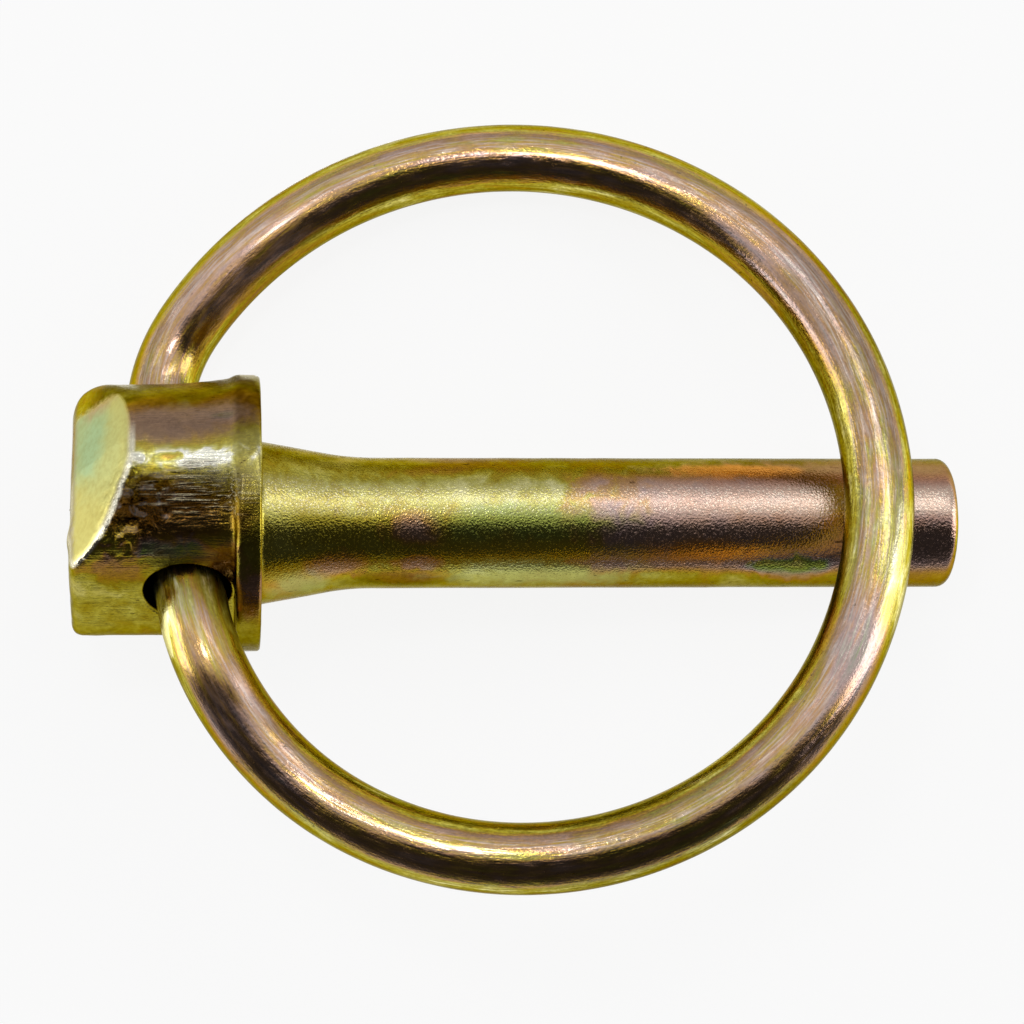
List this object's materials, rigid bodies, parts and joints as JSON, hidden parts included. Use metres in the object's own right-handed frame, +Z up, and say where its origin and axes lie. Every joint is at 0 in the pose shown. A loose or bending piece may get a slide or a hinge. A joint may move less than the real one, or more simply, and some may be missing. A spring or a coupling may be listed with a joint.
{
  "type": "lynch pin",
  "caption": "Forged pin with a bevelled, flanged head and a sprung wire ring that pivots in the head and snaps down over the end of the shank.",
  "frame": {"origin": "on the surface the part lies on, under the middle of its box, with the ring closed", "axes": "+X along the shank from head to end, +Z up from the surface, +Y towards the side of the ring that rests on it"},
  "size_m": [0.0654, 0.0555, 0.023],
  "materials": {
    "pin_steel": "yellow zinc plating over forged steel, grained",
    "ring_wire": "yellow zinc plating over drawn spring wire, glossy"
  },
  "bodies": {
    "pin": {"pin": "pin_steel"},
    "ring": {"ring": "ring_wire"}
  },
  "joints": [
    {"name": "ring_swing", "type": "hinge", "parent": "pin", "child": "ring", "pos_m": [-0.02423, -0.00112, 0.01055], "axis": [0.2049, -0.7585, 0.6186], "range_deg": [0, 180]}
  ]
}
